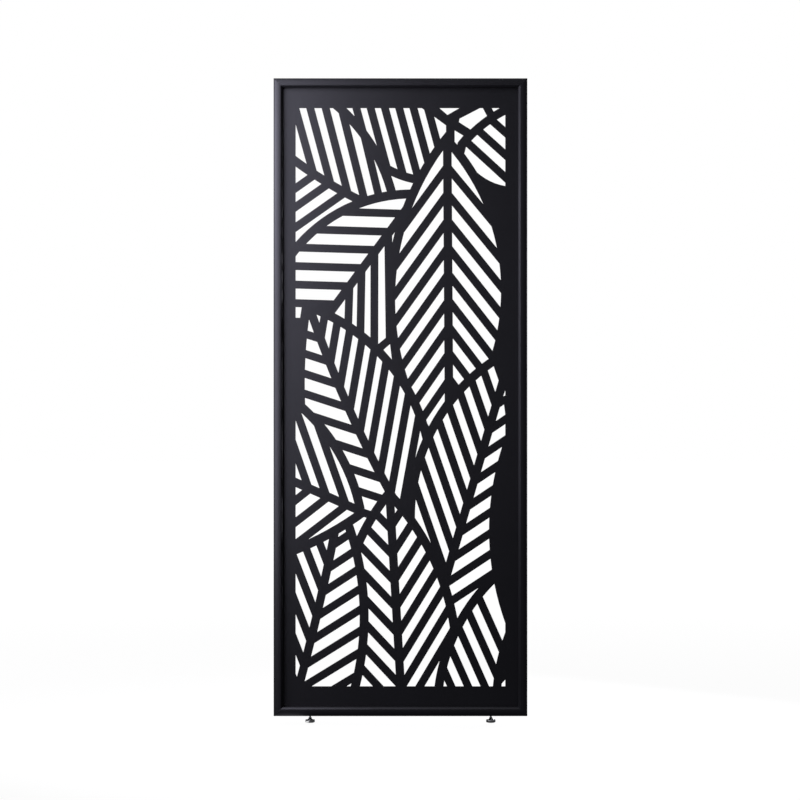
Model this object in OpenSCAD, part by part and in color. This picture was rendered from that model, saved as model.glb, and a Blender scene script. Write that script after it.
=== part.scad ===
// Laser cut metal screen: a mitred frame holding a sheet cut with layered leaves, on two levelling feet.
// Millimetres, +Z up, X across the screen, front towards -Y, origin on the floor under its middle.

/* [Frame] */
// overall width of the frame
frame_w = 700; // [560:10:840]
// height of the frame without its feet
frame_h = 1760; // [1400:20:2100]
// depth of the frame from front to back
frame_d = 50; // [44:1:60]
// width of the frame bars seen from the front
face_w = 25; // [24:0.5:30]
// radius of the crowned front and back faces of the bars
crown_r = 42; // [36:1:80]
// distance of the highest line of the crown from the outer edge
crown_at = 15; // [11:0.5:17]
// width of the broken outer long edges of the bars
edge_break = 1.5; // [0.5:0.5:2]
// width of the bevel along the inner edges of the bars
bevel = 5.5; // [4:0.5:6]
// wall thickness of the hollow bars
wall = 2; // [1.6:0.1:2.4]

/* [Sheet] */
// thickness of the cut sheet
sheet_t = 3; // [2:0.5:4]
// how far the sheet reaches into the groove of the bars
sheet_bite = 8; // [6:0.5:8.5]
// thickness of the rubber channel around the sheet's edge
rubber_t = 1; // [0.8:0.1:1.5]
// how far the rubber channel stays below the inner face of the bars
rubber_inset = 0.5; // [0:0.1:1]
// uncut border of the sheet from the outside of the frame to the leaves, at the sides
side_border = 60; // [50:1:80]
// the same border at the top and the bottom
end_border = 80; // [60:1:110]

/* [Leaves] */
// width of the band that outlines a leaf lying over another
rim_w = 25; // [18:0.5:28]
// width of the middle rib of a leaf
rib_w = 24; // [18:0.5:28]
// width of the side veins of a leaf
vein_w = 22; // [14:0.5:24]

/* [Corners] */
// length of each leg of a corner cleat, from the outer corner
cleat_leg = 90; // [70:1:120]
// distance of the cleat screws from the outer corner
cleat_screw_at = 60; // [45:1:65]
// thread diameter of the cleat screws
screw_d = 5; // [4:0.5:5]
// head diameter of the cleat screws
screw_head_d = 9.4; // [8.6:0.1:9.6]
// length of the cleat screws
screw_len = 14; // [10:1:18]
// width of the hexagon key that turns the cleat screws
screw_key = 3; // [2:0.5:3]

/* [Feet] */
// gap between the floor and the frame
foot_h = 20; // [18:0.5:26]
// distance of the feet from the ends of the corner cleats, which the rivet nuts have to clear
foot_past_cleat = 10; // [8:1:60]
// how far each foot can be screwed in or out from where it stands
foot_travel = 4; // [2:0.5:5]
// diameter of the foot pads
pad_d = 26; // [24:0.5:34]
// height above the floor where the upright edge of a pad ends
pad_edge = 8; // [6:0.5:9]
// diameter of the flat top of a pad
pad_top_d = 8; // [7.5:0.5:12]
// diameter of the nylon glide under the pad
glide_d = 20; // [14:0.5:21]
// thickness of the nylon glide
glide_t = 3; // [2:0.5:4]
// thread diameter of the foot studs
stud_d = 6; // [5:0.5:6.5]
// width of the spanner that turns the studs
stud_key = 5; // [4:0.5:5]
// diameter of the rivet nut's sleeve, which holds the stud
nut_d = 9; // [8.5:0.5:10]
// how far the rivet nut reaches into the frame
nut_len = 11.5; // [8:0.5:12]

/* [Hidden] */
$fn = 96;
// small gap that lets one part run in another
fit = 0.05;
// gap that keeps two parts clear of each other
clear = 0.3;
// overlap that keeps a cut clean
over = 1;
mid_z = foot_h + frame_h / 2;
top_z = foot_h + frame_h;
// the groove for the sheet, cut from the inner face of each bar
groove_depth = sheet_bite + rubber_t;
groove_w = sheet_t + 2 * rubber_t;
// the long hollow room of each bar, between the outer wall and the groove
room_w = face_w - groove_depth - 2 * wall;
room_end = wall + room_w;
// half the depth of a bar at its outer edge, where the crown has dropped most
edge_d = frame_d / 2 - crown_r + sqrt(crown_r ^ 2 - crown_at ^ 2);
room_d = 2 * (edge_d - wall);
sheet_w = frame_w - 2 * (face_w - sheet_bite);
sheet_h = frame_h - 2 * (face_w - sheet_bite);
// the window of the sheet that is filled with leaves
window_w = frame_w - 2 * side_border;
window_h = frame_h - 2 * end_border;
// the leaves are drawn for this window and follow it when it changes
drawn = [580, 1600];
grow_x = window_w / drawn[0];
grow_y = window_h / drawn[1];
grow = sqrt(grow_x * grow_y);
// fine rounding for the long outlines of the leaves
leaf_fn = 360;
// long enough to cross any leaf
far = 900;
// the cleat screws enter from the back, along the middle of the hollow room; their flat heads
// end where the crown is lowest along the rim of the head
screw_in = wall + room_w / 2;
screw_head_h = (screw_head_d - screw_d) / 2;
screw_low = crown_at - screw_in + screw_head_d / 2;
screw_top = frame_d / 2 - crown_r + sqrt(crown_r ^ 2 - screw_low ^ 2);
recess_h = 1.6;
// the lips of the rivet nut: a flange below the frame and a bulge above its wall
flange_d = nut_d + 4;
flange_t = 1;
bulge_d = nut_d + 3.4;
bulge_t = 2.5;
// the pad and the stud keep this much from the frame when the foot is screwed right in
foot_play = 0.5;
foot_x = frame_w / 2 - cleat_leg - foot_past_cleat;
glide_show = 1;
pad_top = foot_h - flange_t - foot_travel - foot_play;
stud_top = foot_h + room_end - foot_travel - foot_play;
// the pin under the stud, which turns in the pad
pin_d = stud_d - 2;
pin_len = 5;
// small broken edges of the turned parts
chamfer = 0.6;

// Leaves from the rearmost to the frontmost, in millimetres from the lower left corner of the window.
// Each one is: foot, tip, how far the rib bows to the left on its way from foot to tip,
// left side, right side.
// Each side is: where it is widest, half width there, radius of its outline, first vein, step between
// veins, number of veins, angle between the first vein and the line from foot to tip, and how much
// that angle and that step change from each vein to the next.
leaves = [
    [[436, 1464.5], [635, 1617], 22,
        [60, 175, 200, 84, 64.5, 2, 110, -30, 0], [180, 201, 156, 57, 46, 3, 80, -0.5, 0.5]],
    [[360.5, 1399], [168.5, 1508], 24.5,
        [130, 89, 165, 0, 0, 0, 0, 0, 0], [216, 173, 1446, -81, 53.7, 6, 45.25, 0, 0]],
    [[265, 1307], [-247, 1703], 47,
        [327, 282, 330, 128, 48.4, 3, 72.75, 0.1, -3.7], [325, 133, 463, 35.75, 66.2, 5, 38.75, -0.5, -0.5]],
    [[336.5, 1361], [-2, 903], 0,
        [293, 173.5, 376, 135.25, 64, 4, 37.25, -0.9, -3.9], [341.5, 169, 402, 66, 62.4, 8, 55.25, 0, 0]],
    [[419.5, 1501.5], [425, 670], 0,
        [402.5, 146, 604, 64.5, 74.4, 9, 39.25, -0.4, -0.4], [434.5, 147, 707, 62.75, 75, 10, 36.5, -0.2, -0.3]],
    [[308, 452.5], [43.5, 1033.5], 15.5,
        [-101.5, 221.5, 1371, -14.5, 71.3, 9, 47.5, 0, 0], [288.5, 144, 499, 35.5, 67, 9, 34.75, -0.1, 0]],
    [[390.5, 213], [586.5, 889.5], 0,
        [370, 149, 509, 96.25, 69.5, 9, 35.25, 0, 0.2], [108, 126, 1185, -4, 74.7, 9, 40.5, -0.1, -0.2]],
    [[293, -39], [262, 497], 0,
        [159, 149.5, 606, -32.5, 72.8, 8, 39.5, 0.2, -0.2], [138.5, 147, 654, -42.25, 75.4, 8, 34, 0.3, -0.1]],
    [[557.5, -100.5], [645, 251], 30.5,
        [114, 171, 501, -122, 69, 5, 38, 0, 0], [150, 100, 300, 0, 0, 0, 0, 0, 0]],
    [[-31, -141], [110.5, 439], -7,
        [434, 159, 640, 143, 71.2, 6, 35.25, -0.1, -0.1], [194.5, 144.5, 754, 61, 69.5, 8, 45.25, -0.4, -0.2]],
    [[185, 482.5], [-142, 627], 0,
        [742, 418.5, 844, 47.75, 55.8, 3, 61.25, 0.5, -0.5], [429, 209.5, 502, 50.25, 58.7, 3, 46.75, 0, -4.3]]
];
// Uncut leaves at the edges, in front of the others: middle and radius of the outline.
plain_leaves = [[1294, 432, 759], [-588, 900, 600], [-40, 985, 52], [84, 1045, 8]];
// Stalks, in front of the others: start and end.
stalks = [[[428, 1480], [428, 1568]],
    [[418, 1566], [515, 1616]],
    [[559.6, 13.9], [607, 65.4]],
    [[586, 40], [586, 100]]];
// Small gaps that show between three leaves: their corners.
gaps = [[[439, 1539], [464, 1524], [445, 1501], [439, 1508]],
    [[398, 1600], [453, 1600], [420, 1581]],
    [[243, 931], [261, 947], [266, 905]],
    [[574.5, 802.5], [580, 805], [580, 819]]];

// ---------- leaves ----------

function at(p) = [p[0] * grow_x, p[1] * grow_y];
function leaf_foot(leaf) = at(leaf[0]);
function leaf_run(leaf) = at(leaf[1]) - at(leaf[0]);
function leaf_angle(leaf) = atan2(leaf_run(leaf)[1], leaf_run(leaf)[0]);
function leaf_len(leaf) = norm(leaf_run(leaf));
// radius of the bowed rib through foot and tip
function rib_r(leaf) = (leaf_len(leaf) ^ 2 / 4 + (leaf[2] * grow) ^ 2) / (2 * abs(leaf[2] * grow));

// Puts a shape in a leaf's own frame: foot at the origin, tip along +X, left side along +Y.
module on_leaf(leaf) {
    translate(leaf_foot(leaf))
        rotate(leaf_angle(leaf))
            children();
}

// The disc whose rim is one side of a leaf; side is 1 for the left and -1 for the right.
module side_disc(leaf, side, more) {
    data = side == 1 ? leaf[3] : leaf[4];
    translate([data[0], side * (data[1] - data[2])] * grow)
        circle(r = data[2] * grow + more, $fn = leaf_fn);
}

module blade(leaf, more) {
    on_leaf(leaf)
        intersection() {
            side_disc(leaf, 1, more);
            side_disc(leaf, -1, more);
        }
}

// All that lies beside the rib, on one side of a leaf.
module beside_rib(leaf, side) {
    bow = leaf[2];
    if (bow == 0)
        translate([-far, side == 1 ? rib_w / 2 : -far - rib_w / 2])
            square([3 * far, far]);
    else {
        turn = sign(bow);
        r = rib_r(leaf);
        middle = [leaf_len(leaf) / 2, bow * grow - turn * r];
        if (side == turn)
            difference() {
                translate([-far, -far])
                    square([3 * far, 2 * far]);
                translate(middle)
                    circle(r = r + rib_w / 2, $fn = leaf_fn);
            }
        else
            translate(middle)
                circle(r = r - rib_w / 2, $fn = leaf_fn);
    }
}

module veins(leaf, side) {
    data = side == 1 ? leaf[3] : leaf[4];
    for (i = [0 : 1 : data[5] - 1])
        translate([(data[3] + i * data[4] + i * (i - 1) / 2 * data[8]) * grow, 0])
            rotate(side * (data[6] + i * data[7]))
                square([2 * far, vein_w], center = true);
}

module side_slots(leaf, side) {
    difference() {
        intersection() {
            side_disc(leaf, 1, 0);
            side_disc(leaf, -1, 0);
            beside_rib(leaf, side);
        }
        veins(leaf, side);
    }
}

module stalk(ends) {
    run = at(ends[1]) - at(ends[0]);
    translate(at(ends[0]))
        rotate(atan2(run[1], run[0]))
            translate([0, -rib_w / 2])
                square([norm(run), rib_w]);
}

module leaf_openings(i) {
    difference() {
        on_leaf(leaves[i])
            for (side = [1, -1])
                side_slots(leaves[i], side);
        for (j = [i + 1 : 1 : len(leaves) - 1])
            blade(leaves[j], rim_w);
    }
}

module all_openings() {
    intersection() {
        square([window_w, window_h]);
        difference() {
            union() {
                for (i = [0 : len(leaves) - 1])
                    leaf_openings(i);
                for (corners = gaps)
                    polygon([for (c = corners) at(c)]);
            }
            for (p = plain_leaves)
                translate(at([p[0], p[1]]))
                    circle(r = p[2] * grow, $fn = leaf_fn);
            for (s = stalks)
                stalk(s);
        }
    }
}

module leaf_sheet() {
    color("#26262b")
        translate([0, sheet_t / 2, mid_z])
            rotate([90, 0, 0])
                linear_extrude(sheet_t)
                    difference() {
                        square([sheet_w, sheet_h], center = true);
                        translate([-window_w / 2, -window_h / 2])
                            all_openings();
                    }
}

// ---------- frame ----------

// Section of a bar: X runs through the depth of the frame, Y from the outer edge to the inner edge.
module bar_outline() {
    break_x = edge_d - edge_break;
    half_d = frame_d / 2;
    intersection() {
        translate([half_d - crown_r, crown_at])
            circle(r = crown_r, $fn = leaf_fn);
        translate([crown_r - half_d, crown_at])
            circle(r = crown_r, $fn = leaf_fn);
        polygon([[-break_x, 0], [break_x, 0], [half_d, half_d - break_x], [half_d, face_w - bevel],
            [half_d - bevel, face_w], [bevel - half_d, face_w], [-half_d, face_w - bevel],
            [-half_d, half_d - break_x]]);
    }
}

// The hollow beside the groove follows the bevel at the thickness of the wall.
module side_room() {
    near = groove_w / 2 + wall;
    low = room_end + wall;
    high = face_w - wall;
    slope = frame_d / 2 + face_w - bevel - wall * sqrt(2);
    polygon([[near, low], [room_d / 2, low], [room_d / 2, slope - room_d / 2],
        [slope - high, high], [near, high]]);
}

module bar_section() {
    difference() {
        bar_outline();
        translate([-room_d / 2, wall])
            square([room_d, room_w]);
        translate([-groove_w / 2, face_w - groove_depth])
            square([groove_w, groove_depth + over]);
        side_room();
        mirror([1, 0])
            side_room();
    }
}

module rubber_section() {
    low = face_w - groove_depth;
    difference() {
        translate([-groove_w / 2, low])
            square([groove_w, groove_depth - rubber_inset]);
        translate([-sheet_t / 2, low + rubber_t])
            square([sheet_t, groove_depth]);
    }
}

// Stretches a section into a bar along X, with its ends cut at 45 degrees to meet the next bar.
module mitred(len) {
    intersection() {
        rotate([90, 0, 90])
            linear_extrude(len, center = true)
                children();
        rotate([90, 0, 0])
            linear_extrude(2 * frame_d, center = true)
                polygon([[-len / 2, 0], [len / 2, 0],
                    [len / 2 - face_w, face_w], [face_w - len / 2, face_w]]);
    }
}

// Stands a shape on the back of the frame, on the middle line of the hollow room.
module through_back(x) {
    translate([x, 0, screw_in])
        rotate([-90, 0, 0])
            children();
}

module screw_seat() {
    translate([0, 0, room_d / 2 - over])
        cylinder(d = screw_d + 2 * clear, h = frame_d);
    translate([0, 0, screw_top - screw_head_h])
        cylinder(d1 = screw_d + 2 * clear, d2 = screw_head_d + 2 * clear, h = screw_head_h);
    translate([0, 0, screw_top])
        cylinder(d = screw_head_d + 2 * clear, h = frame_d);
}

module bar(len) {
    color("#1d1d20")
        difference() {
            mitred(len)
                bar_section();
            for (x = [cleat_screw_at - len / 2, len / 2 - cleat_screw_at])
                through_back(x)
                    screw_seat();
        }
}

module rubber(len) {
    color("#101012")
        mitred(len)
            rubber_section();
}

// Carry a bar that lies on the floor line to its own side of the screen.
module at_left() {
    translate([-frame_w / 2, 0, mid_z])
        rotate([0, 90, 0])
            children();
}

module at_right() {
    translate([frame_w / 2, 0, mid_z])
        rotate([0, -90, 0])
            children();
}

module at_top() {
    translate([0, 0, top_z])
        rotate([0, 180, 0])
            children();
}

module at_bottom() {
    translate([0, 0, foot_h])
        children();
}

module left_stile() {
    at_left()
        bar(frame_h);
}

module right_stile() {
    at_right()
        bar(frame_h);
}

module top_rail() {
    at_top()
        bar(frame_w);
}

module bottom_rail() {
    difference() {
        at_bottom()
            bar(frame_w);
        for (x = [-foot_x, foot_x])
            translate([x, 0, foot_h - over])
                cylinder(d = nut_d + 2 * fit, h = wall + 2 * over);
    }
}

module left_rubber() {
    at_left()
        rubber(frame_h);
}

module right_rubber() {
    at_right()
        rubber(frame_h);
}

module top_rubber() {
    at_top()
        rubber(frame_w);
}

module bottom_rubber() {
    at_bottom()
        rubber(frame_w);
}

// ---------- corners ----------

// A corner's own frame has the outer corner at the origin and X and Z towards the middle.
module in_corner(right, top) {
    translate([(right ? 1 : -1) * frame_w / 2, 0, top ? top_z : foot_h])
        mirror([right ? 1 : 0, 0, 0])
            mirror([0, 0, top ? 1 : 0])
                children();
}

// One screw lies in each leg of the corner.
module on_both_legs() {
    translate([cleat_screw_at, 0, screw_in])
        rotate([-90, 0, 0])
            children();
    translate([screw_in, 0, cleat_screw_at])
        rotate([-90, 0, 0])
            children();
}

module cleat() {
    inner = room_end - clear;
    color("#9a9ca0")
        difference() {
            translate([0, room_d / 2, 0])
                rotate([90, 0, 0])
                    linear_extrude(room_d - clear)
                        polygon([[wall, wall], [cleat_leg, wall], [cleat_leg, inner],
                            [inner, inner], [inner, cleat_leg], [wall, cleat_leg]]);
            on_both_legs()
                translate([0, 0, screw_top - screw_len - over])
                    cylinder(d = screw_d + 2 * fit, h = frame_d);
        }
}

module screw() {
    difference() {
        rotate_extrude()
            polygon([[0, screw_top - screw_len], [screw_d / 2, screw_top - screw_len],
                [screw_d / 2, screw_top - screw_head_h], [screw_head_d / 2, screw_top], [0, screw_top]]);
        translate([0, 0, screw_top - recess_h])
            cylinder(d = screw_key / cos(30), h = frame_d, $fn = 6);
    }
}

module corner_screws() {
    color("#b9bbbf")
        on_both_legs()
            screw();
}

module top_left_cleat() {
    in_corner(false, true)
        cleat();
}

module top_right_cleat() {
    in_corner(true, true)
        cleat();
}

module bottom_left_cleat() {
    in_corner(false, false)
        cleat();
}

module bottom_right_cleat() {
    in_corner(true, false)
        cleat();
}

module top_left_screws() {
    in_corner(false, true)
        corner_screws();
}

module top_right_screws() {
    in_corner(true, true)
        corner_screws();
}

module bottom_left_screws() {
    in_corner(false, false)
        corner_screws();
}

module bottom_right_screws() {
    in_corner(true, false)
        corner_screws();
}

// ---------- feet ----------

// Sleeve set in the bottom wall: flange under the frame, bulge squeezed against the wall inside.
module rivet_nut() {
    color("#a8a9ac")
        translate([0, 0, foot_h])
            difference() {
                union() {
                    translate([0, 0, -flange_t])
                        cylinder(d = flange_d, h = flange_t);
                    translate([0, 0, -flange_t])
                        cylinder(d = nut_d, h = flange_t + nut_len);
                    translate([0, 0, wall])
                        cylinder(d = bulge_d, h = bulge_t);
                }
                translate([0, 0, -flange_t - over])
                    cylinder(d = stud_d + 2 * fit, h = flange_t + nut_len + 2 * over);
            }
}

// Threaded rod with a pin at its foot and two flats for a spanner just above the pad.
module stud() {
    color("#c9cacd")
        difference() {
            rotate_extrude()
                polygon([[0, pad_top - pin_len], [pin_d / 2, pad_top - pin_len], [pin_d / 2, pad_top + fit],
                    [stud_d / 2, pad_top + fit], [stud_d / 2, stud_top - chamfer],
                    [stud_d / 2 - chamfer, stud_top], [0, stud_top]]);
            for (side = [-1, 1])
                translate([side * (stud_key + stud_d) / 2, 0, pad_top + foot_travel / 2])
                    cube([stud_d, 2 * stud_d, foot_travel - 2 * foot_play], center = true);
        }
}

// The upper face of the pad sweeps up to its top along an arc that ends upright.
module pad() {
    rise = pad_top - pad_edge;
    reach = (pad_d - pad_top_d) / 2 - 2 * chamfer;
    sweep_r = (reach ^ 2 + rise ^ 2) / (2 * reach);
    color("#d7d8da")
        difference() {
            rotate_extrude()
                union() {
                    polygon([[0, glide_show], [pad_d / 2 - chamfer, glide_show],
                        [pad_d / 2, glide_show + chamfer], [pad_d / 2, pad_edge - chamfer],
                        [pad_d / 2 - chamfer, pad_edge], [0, pad_edge]]);
                    difference() {
                        translate([0, glide_t])
                            square([pad_top_d / 2 + reach, pad_top - glide_t]);
                        translate([pad_top_d / 2 + sweep_r, pad_top])
                            circle(r = sweep_r);
                    }
                }
            cylinder(d = glide_d + 2 * clear, h = glide_t);
            translate([0, 0, pad_top - pin_len - clear])
                cylinder(d = pin_d + 2 * fit, h = pin_len + over);
        }
}

module glide() {
    color("#e6e4dc")
        rotate_extrude()
            polygon([[0, 0], [glide_d / 2 - chamfer, 0], [glide_d / 2, chamfer],
                [glide_d / 2, glide_t], [0, glide_t]]);
}

module at_left_foot() {
    translate([-foot_x, 0, 0])
        children();
}

module at_right_foot() {
    translate([foot_x, 0, 0])
        children();
}

module left_rivet_nut() {
    at_left_foot()
        rivet_nut();
}

module right_rivet_nut() {
    at_right_foot()
        rivet_nut();
}

module left_stud() {
    at_left_foot()
        stud();
}

module right_stud() {
    at_right_foot()
        stud();
}

module left_pad() {
    at_left_foot()
        pad();
}

module right_pad() {
    at_right_foot()
        pad();
}

module left_glide() {
    at_left_foot()
        glide();
}

module right_glide() {
    at_right_foot()
        glide();
}

left_stile();
right_stile();
top_rail();
bottom_rail();
leaf_sheet();
left_rubber();
right_rubber();
top_rubber();
bottom_rubber();
top_left_cleat();
top_right_cleat();
bottom_left_cleat();
bottom_right_cleat();
top_left_screws();
top_right_screws();
bottom_left_screws();
bottom_right_screws();
left_rivet_nut();
right_rivet_nut();
left_stud();
right_stud();
left_pad();
right_pad();
left_glide();
right_glide();
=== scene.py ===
# %% [markdown]
# # A laser cut metal screen
#
# This lesson dresses a finished CAD model of a slim room screen: four mitred black bars, a steel
# sheet cut with large layered leaves, and two levelling feet. The CAD solids are exact but plain.
# Here the pieces that are seen get fine round edges and the finish of the real materials. Then the
# screen is lit by soft lamps and photographed in front of white.

import math

import bpy
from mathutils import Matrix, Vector


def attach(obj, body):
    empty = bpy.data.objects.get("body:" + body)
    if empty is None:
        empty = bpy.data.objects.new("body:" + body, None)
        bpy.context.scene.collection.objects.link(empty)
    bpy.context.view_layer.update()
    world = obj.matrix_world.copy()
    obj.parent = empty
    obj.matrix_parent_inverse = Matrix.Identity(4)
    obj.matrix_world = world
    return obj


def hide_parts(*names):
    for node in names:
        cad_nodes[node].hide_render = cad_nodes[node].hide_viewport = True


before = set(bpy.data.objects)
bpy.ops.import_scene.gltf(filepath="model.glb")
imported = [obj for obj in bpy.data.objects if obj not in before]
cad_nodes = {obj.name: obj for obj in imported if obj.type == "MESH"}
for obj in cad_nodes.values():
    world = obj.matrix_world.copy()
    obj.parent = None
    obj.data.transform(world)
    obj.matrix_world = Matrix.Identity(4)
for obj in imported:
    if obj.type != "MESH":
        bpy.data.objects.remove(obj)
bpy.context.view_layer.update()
print("nodes:", len(cad_nodes))

# %% [markdown]
# ## Sizes
#
# The CAD model is drawn in millimetres and Blender works in metres, so every length is written in
# millimetres times one named unit. Most names are the ones that the CAD source uses, with a radius
# where it gives a diameter. A bar is described lying down: X runs along it, Y through the depth of
# the screen, and Z is the height above its outer edge.

# %% Sizes of the screen
MM = 0.001
frame_w, frame_h, frame_d = 700 * MM, 1760 * MM, 50 * MM
half_d = frame_d / 2
face_w, wall = 25 * MM, 2 * MM
crown_r, crown_at = 42 * MM, 15 * MM
edge_break, bevel = 1.5 * MM, 5.5 * MM
groove_w, groove_depth = 5 * MM, 9 * MM
foot_h, foot_x = 20 * MM, 250 * MM
mid_z = foot_h + frame_h / 2
top_z = foot_h + frame_h
room_w = face_w - groove_depth - 2 * wall
room_end = wall + room_w


def crown_depth(height):
    """How far the crowned face lies from the middle of the frame, at a height on the bar."""
    return half_d - crown_r + math.sqrt(crown_r**2 - (height - crown_at) ** 2)


edge_d = crown_depth(0)
room_d = 2 * (edge_d - wall)
print(f"frame {frame_w:.3f} x {frame_h:.3f} m, depth at the outer edge {2 * edge_d:.4f} m")

# %% [markdown]
# ## Small helpers for modelling
#
# An operator acts on everything that is selected, and the CAD nodes are all selected after the
# import. So every piece starts by deselecting everything. The helpers start an object, select
# points or faces by their place, cut by a plane, and finish an object with its place in its mesh.

# %% Helpers that start and select
def deselect():
    """Leaves edit mode and takes everything out of the selection."""
    if bpy.context.mode != "OBJECT":
        bpy.ops.object.mode_set(mode="OBJECT")
    bpy.ops.object.select_all(action="DESELECT")


def make_active(piece):
    """Makes a piece the only one that the next operator acts on."""
    deselect()
    piece.select_set(True)
    bpy.context.view_layer.objects.active = piece


def edit_all(piece):
    """Opens a piece in edit mode with all of its mesh selected."""
    make_active(piece)
    bpy.ops.object.mode_set(mode="EDIT")
    bpy.ops.mesh.select_all(action="SELECT")


def choose_points(piece, wanted):
    """In edit mode: selects only the points whose place answers the question."""
    bpy.ops.mesh.select_mode(type="VERT")
    bpy.ops.mesh.select_all(action="DESELECT")
    bpy.ops.object.mode_set(mode="OBJECT")
    for point in piece.data.vertices:
        point.select = wanted(point.co)
    bpy.ops.object.mode_set(mode="EDIT")


def choose_faces(piece, wanted):
    """In edit mode: selects only the faces whose centre and normal answer the question."""
    bpy.ops.mesh.select_mode(type="FACE")
    bpy.ops.mesh.select_all(action="DESELECT")
    bpy.ops.object.mode_set(mode="OBJECT")
    for face in piece.data.polygons:
        face.select = wanted(face.center, face.normal)
    bpy.ops.object.mode_set(mode="EDIT")


print("selecting is ready")


# %% Helpers that shape and finish
def settle():
    """Puts the place and turn of the active object into its mesh."""
    bpy.ops.object.transform_apply(location=True, rotation=True, scale=True)


def add_box(low, high):
    """A box between two corners, as a new object."""
    low, high = Vector(low), Vector(high)
    deselect()
    bpy.ops.mesh.primitive_cube_add(size=1, location=(low + high) / 2, scale=high - low)
    settle()
    return bpy.context.active_object


ON_THE_PLANE = 1e-7


def cut(where, direction, remove=False):
    """Cuts the mesh by a plane. With remove, what lies beyond it goes and the cut is closed."""
    bpy.ops.mesh.select_all(action="SELECT")
    bpy.ops.mesh.bisect(plane_co=where, plane_no=direction, clear_outer=remove, use_fill=remove,
                        threshold=ON_THE_PLANE)


def use_modifier(piece, kind, **settings):
    """Adds a modifier with its settings and applies it at once."""
    make_active(piece)
    modifier = piece.modifiers.new(kind.title(), kind)
    for name, value in settings.items():
        setattr(modifier, name, value)
    bpy.ops.object.modifier_apply(modifier=modifier.name)


ROUND_SEGMENTS = 2


def round_edges(piece, width, sharper_than):
    """Puts a small round on every edge that turns by more than an angle, in degrees."""
    use_modifier(piece, "BEVEL", width=width, segments=ROUND_SEGMENTS, limit_method="ANGLE",
                 angle_limit=math.radians(sharper_than), use_clamp_overlap=False)


def cut_away(piece, tool):
    """Takes a closed shape out of a piece, as a drill does, and throws the shape away."""
    use_modifier(piece, "BOOLEAN", operation="DIFFERENCE", solver="EXACT", object=tool)
    bpy.data.objects.remove(tool)


SMOOTH_BELOW = math.radians(18)


def finish(piece, name, body, slot, *nodes):
    """Settles a piece, smooths its gentle edges, ties it to its body and hides its CAD nodes."""
    piece.name = name
    make_active(piece)
    settle()
    bpy.ops.object.shade_smooth_by_angle(angle=SMOOTH_BELOW)
    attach(piece, body)
    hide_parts(*nodes)
    print(name, "has", len(piece.data.polygons), "faces")


print("shaping is ready")

# %% [markdown]
# ## The frame bars
#
# Each bar is a hollow aluminium extrusion. Its front and back faces are slightly crowned, like the
# back of a ruler, its inner edges are bevelled, and a groove in its inner face takes the sheet.
# The import shows the crown as a few flat strips, and a satin coat would show them as stripes. So
# the bar is made again from a box: planes cut the crown into fine strips, and each row of points
# is moved onto the true circle. Moving rows is slower than one bevel, but it follows the exact arc.

# %% The crown
CROWN_STRIPS = 32
SAME_PLACE = 1e-6


def crown_both_faces(bar):
    """Cuts the bar into strips and moves each row of points back onto the circle of the crown."""
    for i in range(1, CROWN_STRIPS):
        cut((0, 0, face_w * i / CROWN_STRIPS), (0, 0, 1))
    for i in range(CROWN_STRIPS + 1):
        height = face_w * i / CROWN_STRIPS
        for side in (-1, 1):
            choose_points(bar, lambda co: abs(co.z - height) < SAME_PLACE
                          and abs(co.y - side * half_d) < SAME_PLACE)
            bpy.ops.transform.translate(value=(0, side * (crown_depth(height) - half_d), 0))


print("drop of the crown at the outer edge:", round((half_d - edge_d) / MM, 2), "mm")

# %% [markdown]
# The outer long edges are broken and the inner ones get a wide bevel. A plane cuts each corner off
# and closes the cut. The groove is drawn as two cuts along the inner face, and the strip between
# them is extruded inwards.

# %% The corners and the groove
FACES_UP = 0.9


def shape_corners():
    """Cuts off the four long corners of the bar that is open in edit mode."""
    for side in (-1, 1):
        cut((0, side * (edge_d - edge_break), 0), (0, side, -1), remove=True)
        cut((0, side * half_d, face_w - bevel), (0, side, 1), remove=True)


def sink_groove(bar):
    """Draws the groove on the inner face of the bar and pushes it in."""
    for side in (-1, 1):
        cut((0, side * groove_w / 2, 0), (0, 1, 0))
    choose_faces(bar, lambda co, normal: normal.z > FACES_UP and abs(co.y) < groove_w / 2
                 and co.z > face_w - MM)
    bpy.ops.mesh.extrude_region_move(TRANSFORM_OT_translate={"value": (0, 0, -groove_depth)})


print("groove", groove_w / MM, "mm wide and", groove_depth / MM, "mm deep")

# %% [markdown]
# A real extrusion is hollow, which keeps it light and leaves room for the corner cleats. The three
# hollow rooms are boxes turned inside out, so that their faces look into the hollow. When they are
# joined to the bar and the ends are cut at 45 degrees, the cut is closed around them.

# %% The hollow rooms
def hollow_rooms(reach):
    """Three boxes with their faces inwards: one along the outer edge, two beside the groove."""
    near, low, high = groove_w / 2 + wall, room_end + wall, face_w - wall
    slope = half_d + face_w - bevel - wall * math.sqrt(2)
    rooms = [add_box((-reach, -room_d / 2, wall), (reach, room_d / 2, room_end))]
    for side in (-1, 1):
        depths = sorted((side * near, side * room_d / 2))
        rooms.append(add_box((-reach, depths[0], low), (reach, depths[1], high)))
        edit_all(rooms[-1])
        cut((0, side * room_d / 2, slope - room_d / 2), (0, side, 1), remove=True)
    for room in rooms:
        edit_all(room)
        bpy.ops.mesh.flip_normals()
    deselect()
    return rooms


def make_bar(length):
    """A whole bar of a length, lying along X with its outer edge down and its ends mitred."""
    reach = length / 2 + face_w
    bar = add_box((-reach, -half_d, 0), (reach, half_d, face_w))
    edit_all(bar)
    crown_both_faces(bar)
    shape_corners()
    sink_groove(bar)
    rooms = hollow_rooms(reach)
    make_active(bar)
    for room in rooms:
        room.select_set(True)
    bpy.ops.object.join()
    edit_all(bar)
    for side in (-1, 1):
        cut((side * length / 2, 0, 0), (side, 0, 1), remove=True)
    deselect()
    return bar


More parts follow.
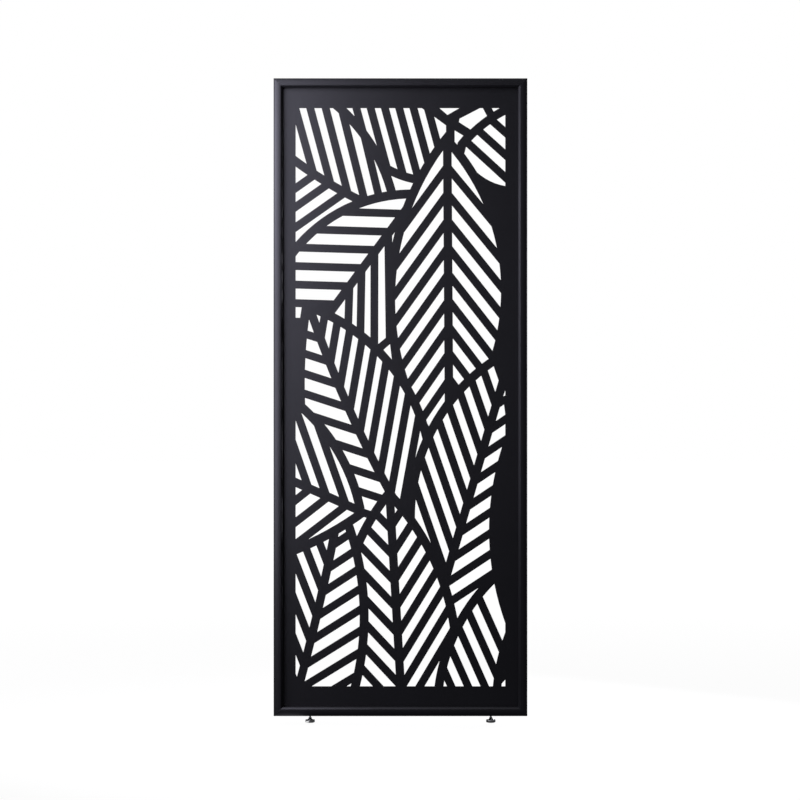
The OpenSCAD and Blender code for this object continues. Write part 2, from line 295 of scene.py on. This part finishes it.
EDGE_ROUND = 0.3 * MM
bar_lengths = {"left_stile": frame_h, "right_stile": frame_h, "top_rail": frame_w,
               "bottom_rail": frame_w}
bars = {name: make_bar(length) for name, length in bar_lengths.items()}
for name, bar in bars.items():
    round_edges(bar, EDGE_ROUND, sharper_than=30)
    print(name, "has", len(bar.data.polygons), "faces before its holes")

# %% [markdown]
# ## Turned shapes
#
# Drills, pads, glides and studs are round, so each is made as on a lathe: half of its outline is
# drawn from point to point and spun round the Z axis. The same helper is used for all of them.

# %% Helpers for turned parts
SPIN_STEPS = 96
ROUND_STEPS = 5


def draw_line(points):
    """Draws a line in the XZ plane: one point is extruded to the next."""
    spots = [Vector((x, 0, z)) for x, z in points]
    deselect()
    bpy.ops.mesh.primitive_plane_add(size=MM)
    bpy.ops.object.mode_set(mode="EDIT")
    bpy.ops.mesh.select_mode(type="VERT")
    bpy.ops.mesh.select_all(action="SELECT")
    bpy.ops.mesh.merge(type="CENTER")
    bpy.ops.transform.translate(value=spots[0])
    for here, there in zip(spots, spots[1:]):
        bpy.ops.mesh.extrude_region_move(TRANSFORM_OT_translate={"value": there - here})
    return bpy.context.active_object


def arc(middle, radius, start, end, steps):
    """Points on an arc from one angle to another, in degrees."""
    turn = [math.radians(start + (end - start) * i / steps) for i in range(steps + 1)]
    return [(middle[0] + radius * math.cos(a), middle[1] + radius * math.sin(a)) for a in turn]


def spin_line(points):
    """Turns a drawn outline into a closed solid round the Z axis."""
    part = draw_line(points)
    bpy.ops.mesh.select_all(action="SELECT")
    bpy.ops.mesh.spin(steps=SPIN_STEPS, angle=2 * math.pi, center=(0, 0, 0), axis=(0, 0, 1))
    bpy.ops.mesh.select_all(action="SELECT")
    bpy.ops.mesh.remove_doubles(threshold=SAME_PLACE)
    bpy.ops.mesh.normals_make_consistent(inside=False)
    deselect()
    return part


print("one turned part has", SPIN_STEPS, "steps around it")

# %% [markdown]
# ## Holes in the bars
#
# From the back, two countersunk screws at each corner hold a hidden cleat, so every bar has a
# countersunk hole near each end. The bottom rail also has a hole for each rivet nut. A drill with
# the whole shape of the hole, its shank, cone and wide mouth, is turned, laid down, and taken out
# of the bar by one boolean. One drill for each hole leaves no thin slivers where two would meet.
#
# Four small lengths are used here and for the feet: fit is the close gap round a shank, clear is
# the wider one round a head, over is how far a drill reaches past what it cuts, and points nearer
# than a hair are merged.

# %% Drill the screw seats and the holes for the feet
fit, clear, over, hair = 0.05 * MM, 0.3 * MM, 1 * MM, 0.01 * MM
cleat_screw_at, screw_in = 60 * MM, wall + room_w / 2
screw_r, screw_head_r, nut_r = 2.5 * MM, 4.7 * MM, 4.5 * MM
screw_head_h = screw_head_r - screw_r
screw_top = crown_depth(screw_in - screw_head_r)
shank_r, mouth_r, hole_r = screw_r + clear, screw_head_r + clear, nut_r + fit
seat_line = [(0, room_d / 2 - over), (shank_r, room_d / 2 - over),
             (shank_r, screw_top - screw_head_h), (mouth_r, screw_top), (mouth_r, frame_d),
             (0, frame_d)]
nut_line = [(0, -over), (hole_r, -over), (hole_r, wall + over), (0, wall + over)]
foot_places = {"left": -foot_x, "right": foot_x}


def drill(bar, line, place, lean=0):
    """Turns a drill from its outline, leans it over at its place and takes it out of a bar."""
    tool = spin_line(line)
    tool.location = place
    tool.rotation_euler = (lean, 0, 0)
    make_active(tool)
    settle()
    cut_away(bar, tool)


for name, bar in bars.items():
    for side in (-1, 1):
        along = side * (bar_lengths[name] / 2 - cleat_screw_at)
        drill(bar, seat_line, (along, 0, screw_in), lean=-math.pi / 2)
for x in foot_places.values():
    drill(bars["bottom_rail"], nut_line, (x, 0, 0))
for bar in bars.values():
    edit_all(bar)
    bpy.ops.mesh.remove_doubles(threshold=hair)
    bpy.ops.mesh.dissolve_degenerate(threshold=hair)
    deselect()
print("screw heads end", round(screw_top / MM, 2), "mm behind the middle of the frame")

# %% [markdown]
# The four bars are now carried to their sides of the screen. A turn about the Y axis keeps the
# screw holes at the back.

# %% Carry the bars to their places
bar_places = {
    "left_stile": ((-frame_w / 2, 0, mid_z), math.pi / 2),
    "right_stile": ((frame_w / 2, 0, mid_z), -math.pi / 2),
    "top_rail": ((0, 0, top_z), math.pi),
    "bottom_rail": ((0, 0, foot_h), 0),
}
for name, (place, turn) in bar_places.items():
    bars[name].location = place
    bars[name].rotation_euler = (0, turn, 0)
    finish(bars[name], name + "_coated", "screen", "frame_coat", name)

# %% [markdown]
# ## The leaf sheet and the rubber channels
#
# The sheet is laser cut steel. Its cut edge is rounded a little before it is coated, and that thin
# line catches the light around every leaf. The outline of the CAD sheet is exact, so its mesh is
# copied, its loose triangles are merged, and a small bevel goes round every opening. The rubber
# channels that hold the sheet in its groove are softened in the same way.

# %% Copies of CAD meshes with softened edges
FLAT_WITHIN = math.radians(0.1)


def soften_copy(node, name, slot, width):
    """Copies the mesh of a CAD node, joins its triangles and rounds its edges."""
    piece = bpy.data.objects.new(name, cad_nodes[node].data.copy())
    bpy.context.scene.collection.objects.link(piece)
    edit_all(piece)
    bpy.ops.mesh.customdata_custom_splitnormals_clear()
    bpy.ops.mesh.remove_doubles(threshold=SAME_PLACE)
    bpy.ops.mesh.dissolve_limited(angle_limit=FLAT_WITHIN)
    deselect()
    round_edges(piece, width, sharper_than=60)
    finish(piece, name, "screen", slot, node)
    return piece


RUBBER_ROUND = 0.2 * MM
leaf_sheet = soften_copy("leaf_sheet", "leaf_sheet_coated", "sheet_coat", EDGE_ROUND)
rubbers = [soften_copy(side + "_rubber", side + "_rubber_channel", "rubber_black", RUBBER_ROUND)
           for side in ("left", "right", "top", "bottom")]

# %% [markdown]
# ## The feet
#
# Each foot is a chromed pad that turns on the pin of a threaded stud, with a nylon disc under it.
# They are all turned parts. Their points lie on round corners, not on sharp ones, because polished
# metal shows every edge as a line of light.
#
# The pad rises from its upright edge to its small top along one hollow arc. The arc ends upright at
# the top, so its middle lies level with the top.

# %% The pad and its nylon glide
pad_r, pad_edge, pad_top, pad_top_r = 13 * MM, 8 * MM, 14.5 * MM, 4 * MM
glide_r, glide_t, glide_show, pin_r, pin_len = 10 * MM, 3 * MM, 1 * MM, 2 * MM, 5 * MM
chamfer, SWEEP_STEPS = 0.6 * MM, 20
rise = pad_top - pad_edge
sweep = pad_r - pad_top_r - 2 * chamfer
sweep_r = (sweep**2 + rise**2) / (2 * sweep)
sweep_end = 180 + math.degrees(math.asin(rise / sweep_r))
pad_line = (
    [(0, glide_t), (glide_r + clear, glide_t), (glide_r + clear, glide_show)]
    + arc((pad_r - chamfer, glide_show + chamfer), chamfer, -90, 0, ROUND_STEPS)
    + arc((pad_r - chamfer, pad_edge - chamfer), chamfer, 0, 90, ROUND_STEPS)
    + arc((pad_top_r + sweep_r, pad_top), sweep_r, sweep_end, 180, SWEEP_STEPS)
    + [(pin_r + fit, pad_top), (pin_r + fit, pad_top - pin_len - clear),
       (0, pad_top - pin_len - clear)]
)
glide_line = ([(0, 0)] + arc((glide_r - chamfer, chamfer), chamfer, -90, 0, ROUND_STEPS)
              + [(glide_r, glide_t), (0, glide_t)])
pads, glides = [], []
for side, x in foot_places.items():
    pads.append(spin_line(pad_line))
    pads[-1].location = (x, 0, 0)
    finish(pads[-1], side + "_pad_polished", side + "_foot", "pad_chrome", side + "_pad")
    glides.append(spin_line(glide_line))
    glides[-1].location = (x, 0, 0)
    finish(glides[-1], side + "_glide_moulded", side + "_foot", "glide_nylon", side + "_glide")

# %% [markdown]
# The stud has a smooth shank with two flats for a spanner, and above it a real screw thread. The
# thread is one small trapezium that the screw modifier carries round and up, a pitch at each turn.
# Its crest is an eighth of the pitch wide, as on any metric screw.

# %% The threaded stud
stud_r, core_r, pitch, stud_top = 3 * MM, 2.39 * MM, 1 * MM, 29.5 * MM
shank_top, flats, flats_z, flats_h = 18.6 * MM, 5 * MM, 16.5 * MM, 3 * MM
thread_start, thread_turns = 19 * MM, 10
crest, root = pitch / 8, 0.8 * pitch
shank_break = 0.2 * MM
shank_line = [(0, pad_top - pin_len), (pin_r - shank_break, pad_top - pin_len),
              (pin_r, pad_top - pin_len + shank_break), (pin_r, pad_top + fit),
              (stud_r - shank_break, pad_top + fit), (stud_r, pad_top + fit + shank_break),
              (stud_r, shank_top - stud_r + core_r), (core_r, shank_top),
              (core_r, stud_top - chamfer), (core_r - chamfer, stud_top), (0, stud_top)]
ridge_line = [(core_r - fit, -root / 2), (stud_r, -crest / 2), (stud_r, crest / 2),
              (core_r - fit, root / 2)]


def make_stud():
    """One stud: a turned shank, its two flats, and the ridge of its thread joined to it."""
    shank = spin_line(shank_line)
    for side in (-1, 1):
        middle = side * (flats / 2 + stud_r)
        cut_away(shank, add_box((middle - stud_r, -stud_r - over, flats_z - flats_h / 2),
                                (middle + stud_r, stud_r + over, flats_z + flats_h / 2)))
    ridge = draw_line(ridge_line)
    bpy.ops.mesh.select_all(action="SELECT")
    bpy.ops.mesh.edge_face_add()
    bpy.ops.mesh.delete(type="ONLY_FACE")
    bpy.ops.mesh.select_all(action="SELECT")
    bpy.ops.transform.translate(value=(0, 0, thread_start))
    use_modifier(ridge, "SCREW", axis="Z", angle=2 * math.pi, screw_offset=pitch,
                 iterations=thread_turns, steps=SPIN_STEPS // 2, render_steps=SPIN_STEPS // 2)
    edit_all(ridge)
    bpy.ops.mesh.fill_holes(sides=len(ridge_line))
    bpy.ops.mesh.normals_make_consistent(inside=False)
    make_active(shank)
    ridge.select_set(True)
    bpy.ops.object.join()
    return shank


studs = []
for side, x in foot_places.items():
    studs.append(make_stud())
    studs[-1].location = (x, 0, 0)
    finish(studs[-1], side + "_stud_threaded", side + "_screw", "stud_steel", side + "_stud")

# %% [markdown]
# ## Finishes
#
# Every finish starts from the Principled BSDF. What changes over a surface, such as the orange peel
# of a powder coat, comes from a shader node group with named inputs and outputs, so that each
# material can use it with its own values. A group puts out a colour, a roughness and a normal, and
# the shader itself stays in the material.

# %% Helpers for materials
def new_finish(name, **settings):
    """A material with one Principled BSDF; settings are the values on its own sockets."""
    material = bpy.data.materials.new(name)
    material.use_nodes = True
    shader = material.node_tree.nodes["Principled BSDF"]
    for socket, value in settings.items():
        shader.inputs[socket.replace("_", " ")].default_value = value
    return material


def new_group(name, inputs):
    """An empty node group with number or colour inputs; it puts out what a shader needs."""
    group = bpy.data.node_groups.new(name, "ShaderNodeTree")
    for socket, value in inputs.items():
        kind = "NodeSocketColor" if isinstance(value, tuple) else "NodeSocketFloat"
        made = group.interface.new_socket(name=socket, in_out="INPUT", socket_type=kind)
        made.default_value = value
    for socket, kind in (("Color", "NodeSocketColor"), ("Roughness", "NodeSocketFloat"),
                         ("Normal", "NodeSocketVector")):
        group.interface.new_socket(name=socket, in_out="OUTPUT", socket_type=kind)
    return group, group.nodes.new("NodeGroupInput"), group.nodes.new("NodeGroupOutput")


def add_node(tree, kind, inputs=None, **settings):
    """A node with its settings; its inputs, by name or number, take values or other outputs."""
    node = tree.nodes.new(kind)
    for name, value in settings.items():
        setattr(node, name, value)
    for socket, value in (inputs or {}).items():
        if isinstance(value, bpy.types.NodeSocket):
            tree.links.new(value, node.inputs[socket])
        else:
            node.inputs[socket].default_value = value
    return node


def calculate(tree, operation, *values):
    """What a Math node makes of up to three numbers or outputs."""
    node = add_node(tree, "ShaderNodeMath", dict(enumerate(values)), operation=operation)
    return node.outputs[0]


def hand_out(group, out, colour, roughness, normal):
    """Joins what a group has made to its three outputs."""
    for socket, value in (("Color", colour), ("Roughness", roughness), ("Normal", normal)):
        group.links.new(value, out.inputs[socket])


def wear_group(material, group, **values):
    """Places a group in a material and joins its outputs to the shader."""
    tree = material.node_tree
    placed = add_node(tree, "ShaderNodeGroup", node_tree=group)
    for socket, value in values.items():
        placed.inputs[socket.replace("_", " ")].default_value = value
    shader = tree.nodes["Principled BSDF"]
    for mine, theirs in (("Color", "Base Color"), ("Roughness", "Roughness"), ("Normal", "Normal")):
        tree.links.new(placed.outputs[mine], shader.inputs[theirs])


def paint(material, *pieces):
    """Gives pieces one material, in place of any they had."""
    for piece in pieces:
        piece.data.materials.clear()
        piece.data.materials.append(material)
    print(material.name, "on", len(pieces), "pieces")


# %% [markdown]
# A cast or coated skin is never quite even. Two layers of noise show that: a coarse one that drifts
# the colour and the roughness a little, and a fine one whose height bends the light, as the orange
# peel of a powder coat does. The height is given in metres, so the bumps keep their real size.

# %% The skin group: drift and orange peel
NOISE_MIDDLE = 0.5


def skin_group():
    """A group whose colour and gloss drift over a surface, with a fine bumpy skin."""
    group, given, out = new_group("uneven_skin", {
        "Base": (0.02, 0.02, 0.02, 1.0), "Drift": 0.1, "Drift Scale": 9.0, "Gloss": 0.5,
        "Gloss Drift": 0.05, "Peel Scale": 900.0, "Peel Height": 0.00003})
    given = given.outputs
    place = add_node(group, "ShaderNodeTexCoord").outputs["Object"]
    drift = add_node(group, "ShaderNodeTexNoise", {
        "Vector": place, "Scale": given["Drift Scale"], "Detail": 4.0})
    peel = add_node(group, "ShaderNodeTexNoise", {
        "Vector": place, "Scale": given["Peel Scale"], "Detail": 2.0})
    centred = calculate(group, "SUBTRACT", drift.outputs["Fac"], NOISE_MIDDLE)
    shift = calculate(group, "MULTIPLY_ADD", centred, given["Drift"], 1.0)
    tint = add_node(group, "ShaderNodeVectorMath", {0: given["Base"], "Scale": shift},
                    operation="SCALE")
    rough = calculate(group, "MULTIPLY_ADD", centred, given["Gloss Drift"], given["Gloss"])
    bump = add_node(group, "ShaderNodeBump", {
        "Strength": 1.0, "Distance": given["Peel Height"], "Height": peel.outputs["Fac"]})
    hand_out(group, out, tint.outputs[0], rough, bump.outputs[0])
    return group


uneven_skin = skin_group()
print("group", uneven_skin.name, "with", len(uneven_skin.nodes), "nodes")

# %% [markdown]
# Drawn, turned and brushed metal carries fine lines in one direction. The noise of this group is
# squeezed by a scale for each axis, so that its grains become long lines. Turned parts read the
# distance from their own axis instead of X and Y, which makes the lines run round them.

# %% The tool line group
LINE_SCALE = 2500.0
LINE_STRETCH = 0.03


def distance_from_foot(group, parts):
    """How far a point lies from the upright axis of the nearer foot."""
    sideways = calculate(group, "ABSOLUTE", parts["X"])
    offset = calculate(group, "SUBTRACT", sideways, foot_x)
    flat = add_node(group, "ShaderNodeCombineXYZ", {"X": offset, "Y": parts["Y"]})
    radius = add_node(group, "ShaderNodeVectorMath", {0: flat.outputs[0]}, operation="LENGTH")
    return radius.outputs["Value"]


def tool_line_group(name, turned):
    """A group of fine lines that run round a foot where turned, and along X and Z otherwise."""
    group, given, out = new_group(name, {
        "Base": (0.6, 0.6, 0.6, 1.0), "Line Color": (0.5, 0.5, 0.5, 1.0), "Gloss": 0.3,
        "Gloss Drift": 0.1, "Line Height": 0.000002})
    given = given.outputs
    vector = add_node(group, "ShaderNodeTexCoord").outputs["Object"]
    scale = (LINE_STRETCH, 1.0, LINE_STRETCH)
    if turned:
        parts = add_node(group, "ShaderNodeSeparateXYZ", {"Vector": vector}).outputs
        vector = add_node(group, "ShaderNodeCombineXYZ", {
            "X": distance_from_foot(group, parts), "Z": parts["Z"]}).outputs[0]
        scale = (1.0, 1.0, 1.0)
    squeezed = add_node(group, "ShaderNodeVectorMath", {0: vector, 1: scale}, operation="MULTIPLY")
    lines = add_node(group, "ShaderNodeTexNoise", {
        "Vector": squeezed.outputs[0], "Scale": LINE_SCALE, "Detail": 3.0}).outputs["Fac"]
    colour = add_node(group, "ShaderNodeMix", {
        "Factor": lines, "A": given["Base"], "B": given["Line Color"]}, data_type="RGBA")
    rough = calculate(group, "MULTIPLY_ADD", lines, given["Gloss Drift"], given["Gloss"])
    bump = add_node(group, "ShaderNodeBump", {
        "Strength": 1.0, "Distance": given["Line Height"], "Height": lines})
    hand_out(group, out, colour.outputs["Result"], rough, bump.outputs[0])
    return group


turned_lines = tool_line_group("turned_lines", turned=True)
drawn_lines = tool_line_group("drawn_lines", turned=False)
print("groups", turned_lines.name, "and", drawn_lines.name)

# %% [markdown]
# The frame and the sheet wear the same satin black powder coat, whose broad soft gloss is a touch
# blue. Its colour is so deep that nearly all the light it gives back is gloss. Its orange peel is
# about a millimetre wide and a few hundredths of a millimetre high. The rubber is duller and finer
# grained, and the cleat screws are blackened steel, so that they don't shine on a black frame.

# %% Black finishes
coat_black = (0.004, 0.004, 0.005, 1.0)
coat_sheen = (0.88, 0.87, 1.0, 1.0)
frame_coat = new_finish("frame_powder_coat", Specular_Tint=coat_sheen)
wear_group(frame_coat, uneven_skin, Base=coat_black, Gloss=0.41)
sheet_coat = new_finish("sheet_powder_coat", Specular_Tint=coat_sheen)
wear_group(sheet_coat, uneven_skin, Base=coat_black, Gloss=0.41)
blackened_steel = new_finish("blackened_steel")
wear_group(blackened_steel, uneven_skin, Base=(0.012, 0.012, 0.013, 1.0), Drift=0.5,
           Drift_Scale=250.0, Gloss=0.36, Gloss_Drift=0.15, Peel_Scale=4000.0,
           Peel_Height=0.000002)
black_rubber = new_finish("black_rubber", Specular_IOR_Level=0.3)
wear_group(black_rubber, uneven_skin, Base=(0.01, 0.01, 0.01, 1.0), Drift=0.4, Drift_Scale=40.0,
           Gloss=0.82, Peel_Scale=3000.0, Peel_Height=0.000004)
paint(frame_coat, *bars.values())
paint(sheet_coat, leaf_sheet)
paint(black_rubber, *rubbers)
paint(blackened_steel, *(cad_nodes[name] for name in cad_nodes if "screws" in name))

# %% [markdown]
# The metal parts differ in how they were made: chrome is polished on a lathe, the studs are turned
# and zinc plated, the rivet nuts have the cloudy look of plain zinc, and the cleats show the lines
# of the extruding die. The glides are white nylon, which lets a little light in.

# %% Metal and nylon finishes
polished_chrome = new_finish("polished_chrome", Metallic=1.0)
wear_group(polished_chrome, turned_lines, Base=(0.78, 0.79, 0.8, 1.0),
           Line_Color=(0.68, 0.69, 0.7, 1.0), Gloss=0.02, Gloss_Drift=0.08, Line_Height=0.0000001)
turned_zinc = new_finish("turned_zinc", Metallic=1.0)
wear_group(turned_zinc, turned_lines, Base=(0.66, 0.67, 0.68, 1.0),
           Line_Color=(0.5, 0.51, 0.52, 1.0), Gloss=0.2, Gloss_Drift=0.15)
cloudy_zinc = new_finish("cloudy_zinc", Metallic=1.0)
wear_group(cloudy_zinc, uneven_skin, Base=(0.6, 0.61, 0.63, 1.0), Drift=0.4, Drift_Scale=250.0,
           Gloss=0.32, Gloss_Drift=0.2, Peel_Scale=4000.0, Peel_Height=0.000003)
mill_aluminium = new_finish("mill_aluminium", Metallic=1.0)
wear_group(mill_aluminium, drawn_lines, Base=(0.66, 0.67, 0.68, 1.0),
           Line_Color=(0.56, 0.57, 0.58, 1.0), Gloss=0.35)
white_nylon = new_finish("white_nylon", Subsurface_Weight=0.15, Subsurface_Scale=0.002)
wear_group(white_nylon, uneven_skin, Base=(0.75, 0.74, 0.7, 1.0), Drift=0.06, Drift_Scale=60.0,
           Gloss=0.4, Peel_Scale=2500.0, Peel_Height=0.000003)
paint(polished_chrome, *pads)
paint(turned_zinc, *studs)
paint(cloudy_zinc, *(cad_nodes[name] for name in cad_nodes if "rivet_nut" in name))
paint(mill_aluminium, *(cad_nodes[name] for name in cad_nodes if "cleat" in name))
paint(white_nylon, *glides)

# %% [markdown]
# ## The studio
#
# The screen stands on a floor that the camera sees as white, while everything else sees a dim
# room. This is how the black coat keeps its depth in front of a white background. Near the screen
# the floor still takes a soft shadow. It lies as low as the feet can be screwed out, so that it
# never cuts into them. Beside the left foot a small disc of the floor glows white, seen only in
# reflections. It is a painted light, no lamp, and it puts a painted highlight on one half of the
# left pad.

# %% The floor
FLOOR_SIZE = 60
floor_near, floor_far = 1.5, 5.0
floor_glow = 0.95
# A painted glow: a disc of floor beside the left foot that shines white in reflections only, so
# that the left pad shows a painted highlight.
painted_glow_centre = (-foot_x - 0.06, -0.025, 0)
painted_glow_r, painted_glow_soft = 0.04, 0.01
foot_travel = 4 * MM


def fade(tree, value, low, high, start, end):
    """A value that climbs from one number to another while its input goes from low to high."""
    return add_node(tree, "ShaderNodeMapRange", {
        "Value": value, "From Min": low, "From Max": high, "To Min": start, "To Max": end}
    ).outputs["Result"]


deselect()
bpy.ops.mesh.primitive_plane_add(size=FLOOR_SIZE, location=(0, 0, -foot_travel))
floor = bpy.context.active_object
floor.name = "studio_floor"
floor_paint = new_finish("pale_floor", Base_Color=(0.045, 0.045, 0.045, 1.0), Roughness=0.9)
tree = floor_paint.node_tree
rays = add_node(tree, "ShaderNodeLightPath").outputs
place = add_node(tree, "ShaderNodeTexCoord").outputs["Object"]
distance = add_node(tree, "ShaderNodeVectorMath", {0: place}, operation="LENGTH").outputs["Value"]
seen = calculate(tree, "MULTIPLY", rays["Is Camera Ray"],
                 fade(tree, distance, floor_near, floor_far, floor_glow, 1.0))
# The painted glow disc is white to glossy and transmission rays only, and it paints a highlight
# into the chrome of the left pad.
from_painted_glow = add_node(tree, "ShaderNodeVectorMath", {0: place, 1: painted_glow_centre},
                      operation="DISTANCE").outputs["Value"]
painted_glow = fade(tree, from_painted_glow, painted_glow_r, painted_glow_r + painted_glow_soft, 1.0, 0.0)
mirror_rays = calculate(tree, "MAXIMUM", rays["Is Glossy Ray"], rays["Is Transmission Ray"])
mirrored = calculate(tree, "MULTIPLY", painted_glow, mirror_rays)
glow = add_node(tree, "ShaderNodeEmission", {"Strength": calculate(tree, "ADD", seen, mirrored)})
both = add_node(tree, "ShaderNodeAddShader", {
    0: tree.nodes["Principled BSDF"].outputs[0], 1: glow.outputs[0]})
tree.links.new(both.outputs[0], tree.nodes["Material Output"].inputs["Surface"])
paint(floor_paint, floor)

# %% [markdown]
# The room is one plain light that comes from everywhere. The camera sees it as white. Glossy things
# see it as dark, but for a pale ceiling right above the screen, which draws the thin light line
# along the bevel of the bottom rail.

# %% The room around the screen
ROOM_LIGHT = 0.09
CEILING_LIGHT = 0.6
ceiling_starts, ceiling_full = 0.6, 0.9
world = bpy.data.worlds.new("studio_room")
bpy.context.scene.world = world
world.use_nodes = True
tree = world.node_tree
rays = add_node(tree, "ShaderNodeLightPath").outputs
direction = add_node(tree, "ShaderNodeTexCoord").outputs["Generated"]
upward = add_node(tree, "ShaderNodeSeparateXYZ", {"Vector": direction}).outputs["Z"]
ceiling = fade(tree, upward, ceiling_starts, ceiling_full, 0.0, CEILING_LIGHT)
seen = calculate(tree, "MAXIMUM", rays["Is Camera Ray"], rays["Is Transmission Ray"])
mirrored = calculate(tree, "MULTIPLY", rays["Is Glossy Ray"], ceiling)
white = calculate(tree, "MAXIMUM", seen, mirrored)
tree.links.new(fade(tree, white, 0.0, 1.0, ROOM_LIGHT, 1.0),
               tree.nodes["Background"].inputs["Strength"])
tree.nodes["Background"].inputs["Color"].default_value = (1.0, 1.0, 1.0, 1.0)
print("room light", ROOM_LIGHT)

# %% [markdown]
# The photograph's light comes from a large soft lamp that stands close by, at the left, with a
# small one nearer to the upper left corner. That is why the left bar is bright, the black grows
# deeper towards the lower right, and the bevel of the right bar lights up. A third lamp lights the
# back. It ends below the top of the screen, so that the top doesn't mirror it. Lamps this near
# would be in the picture, so the camera doesn't see them.

# %% The lamps
LAMP_COLOUR = (0.93, 0.92, 1.0)


def soft_lamp(name, place, target_z, size, watts):
    """A soft lamp at a place, turned towards a height on the middle line of the screen."""
    light = bpy.data.lights.new(name, "AREA")
    light.shape = "RECTANGLE"
    light.size, light.size_y = size
    light.energy = watts
    light.color = LAMP_COLOUR
    lamp = bpy.data.objects.new(name, light)
    bpy.context.scene.collection.objects.link(lamp)
    lamp.location = place
    aim = Vector((0, 0, target_z)) - Vector(place)
    lamp.rotation_euler = aim.to_track_quat("-Z", "Y").to_euler()
    lamp.visible_camera = False
    print(name, watts, "W")


soft_lamp("front_lamp", place=(-0.848, -0.8, 1.42), target_z=1.14, size=(1.2, 2.0), watts=30)
soft_lamp("front_strip", place=(-0.737, -0.397, 1.57), target_z=1.26, size=(0.4, 0.48), watts=3.4)
soft_lamp("back_lamp", place=(0.848, 0.8, 1.0), target_z=0.9, size=(1.2, 1.4), watts=20)

# %% [markdown]
# ## The camera
#
# The photograph looks straight at the screen, from half its height and far enough away that its
# lines stay parallel. The view is set so that the front of the frame has its size in the picture.

# %% The camera
VIEW_DISTANCE = 7
HALF_VIEW = 1.103
view_x, view_z = -1.3 * MM, 892.3 * MM
camera_data = bpy.data.cameras.new("camera")
camera = bpy.data.objects.new("camera", camera_data)
bpy.context.scene.collection.objects.link(camera)
camera.location = (view_x, -half_d - VIEW_DISTANCE, view_z)
camera.rotation_euler = (math.pi / 2, 0, 0)
camera_data.angle = 2 * math.atan(HALF_VIEW / VIEW_DISTANCE)
bpy.context.scene.camera = camera
bpy.context.scene.view_settings.view_transform = "Standard"
print("view", round(math.degrees(camera_data.angle), 2), "degrees wide")
